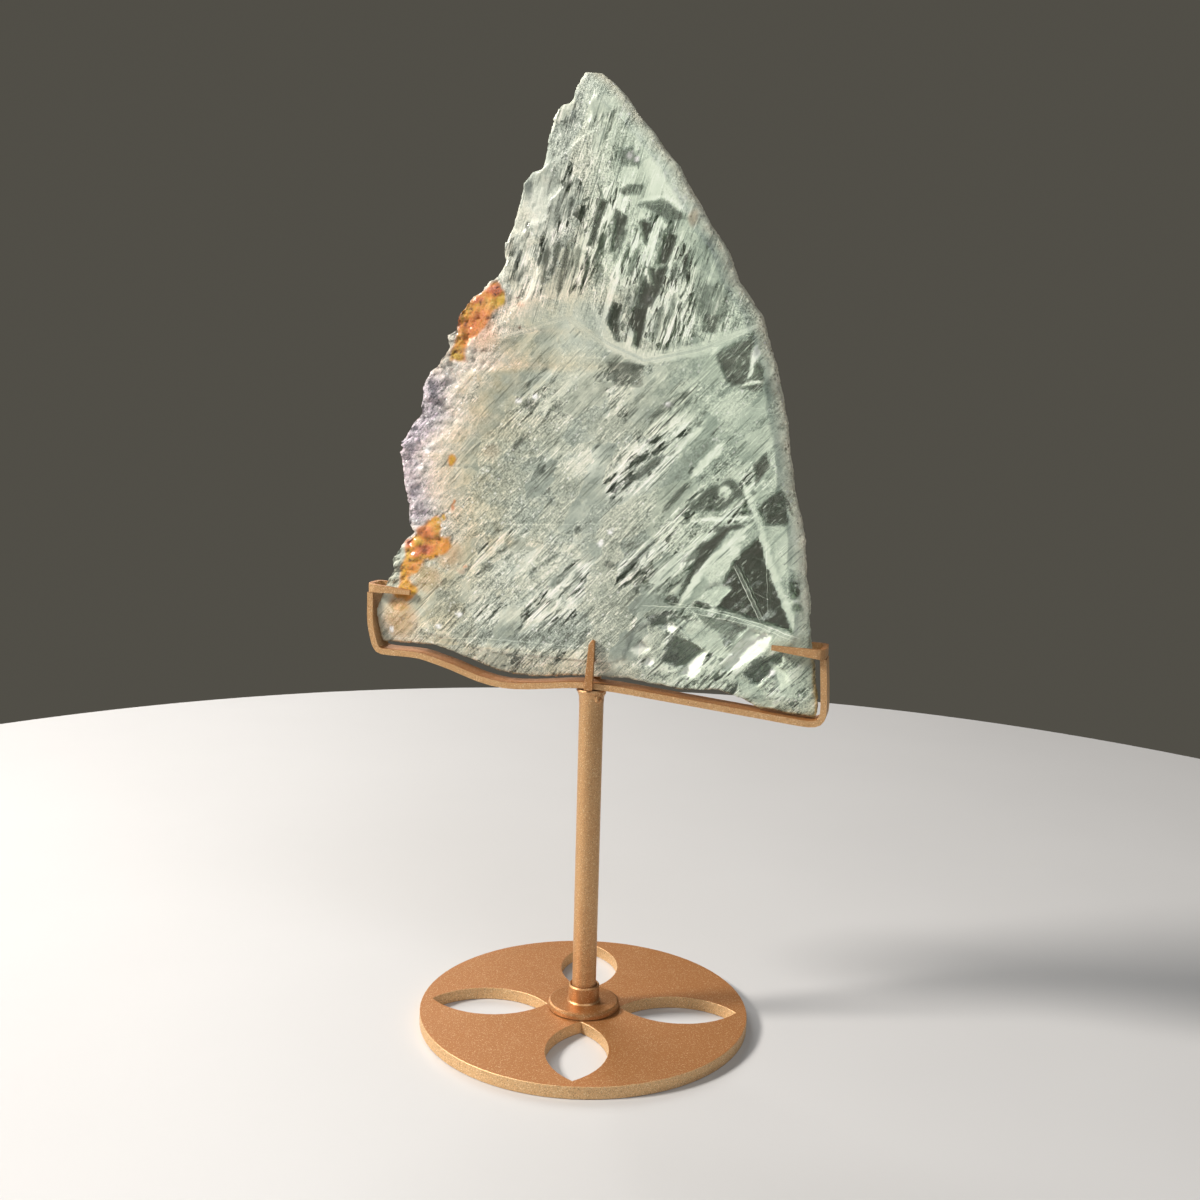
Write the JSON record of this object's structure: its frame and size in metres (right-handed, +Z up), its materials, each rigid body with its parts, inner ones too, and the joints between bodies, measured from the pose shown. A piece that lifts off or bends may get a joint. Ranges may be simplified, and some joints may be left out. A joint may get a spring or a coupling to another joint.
{
  "type": "fluorite slab on a metal stand",
  "caption": "Thin upright slab of pale green fluorite with a rough, cubic crust along one edge, held in a bent-strip cradle on a rod and a round pierced plate.",
  "frame": {"origin": "middle of the underside of the round plate, under the rod", "axes": "+Z up along the rod, -Y towards the viewer of the picture, +X to that viewer's right; the slab stands on edge and is turned 15 degrees about +Z, its right end towards the viewer"},
  "size_m": [0.151, 0.11, 0.3058],
  "materials": {
    "pale_fluorite": "polished front, rough cleaved back",
    "disc_paint": "fine metallic gold spray",
    "hub_paint": "fine metallic gold spray",
    "rod_paint": "fine metallic gold spray",
    "bar_paint": "fine metallic gold spray",
    "left_fork_paint": "fine metallic gold spray",
    "right_fork_paint": "fine metallic gold spray",
    "front_prong_paint": "fine metallic gold spray",
    "rear_prong_paint": "fine metallic gold spray"
  },
  "bodies": {
    "root": {"slab": "pale_fluorite", "base_disc": "disc_paint", "hub": "hub_paint", "rod": "rod_paint", "cradle_bar": "bar_paint", "left_fork": "left_fork_paint", "right_fork": "right_fork_paint", "front_prong": "front_prong_paint", "rear_prong": "rear_prong_paint"}
  },
  "joints": []
}
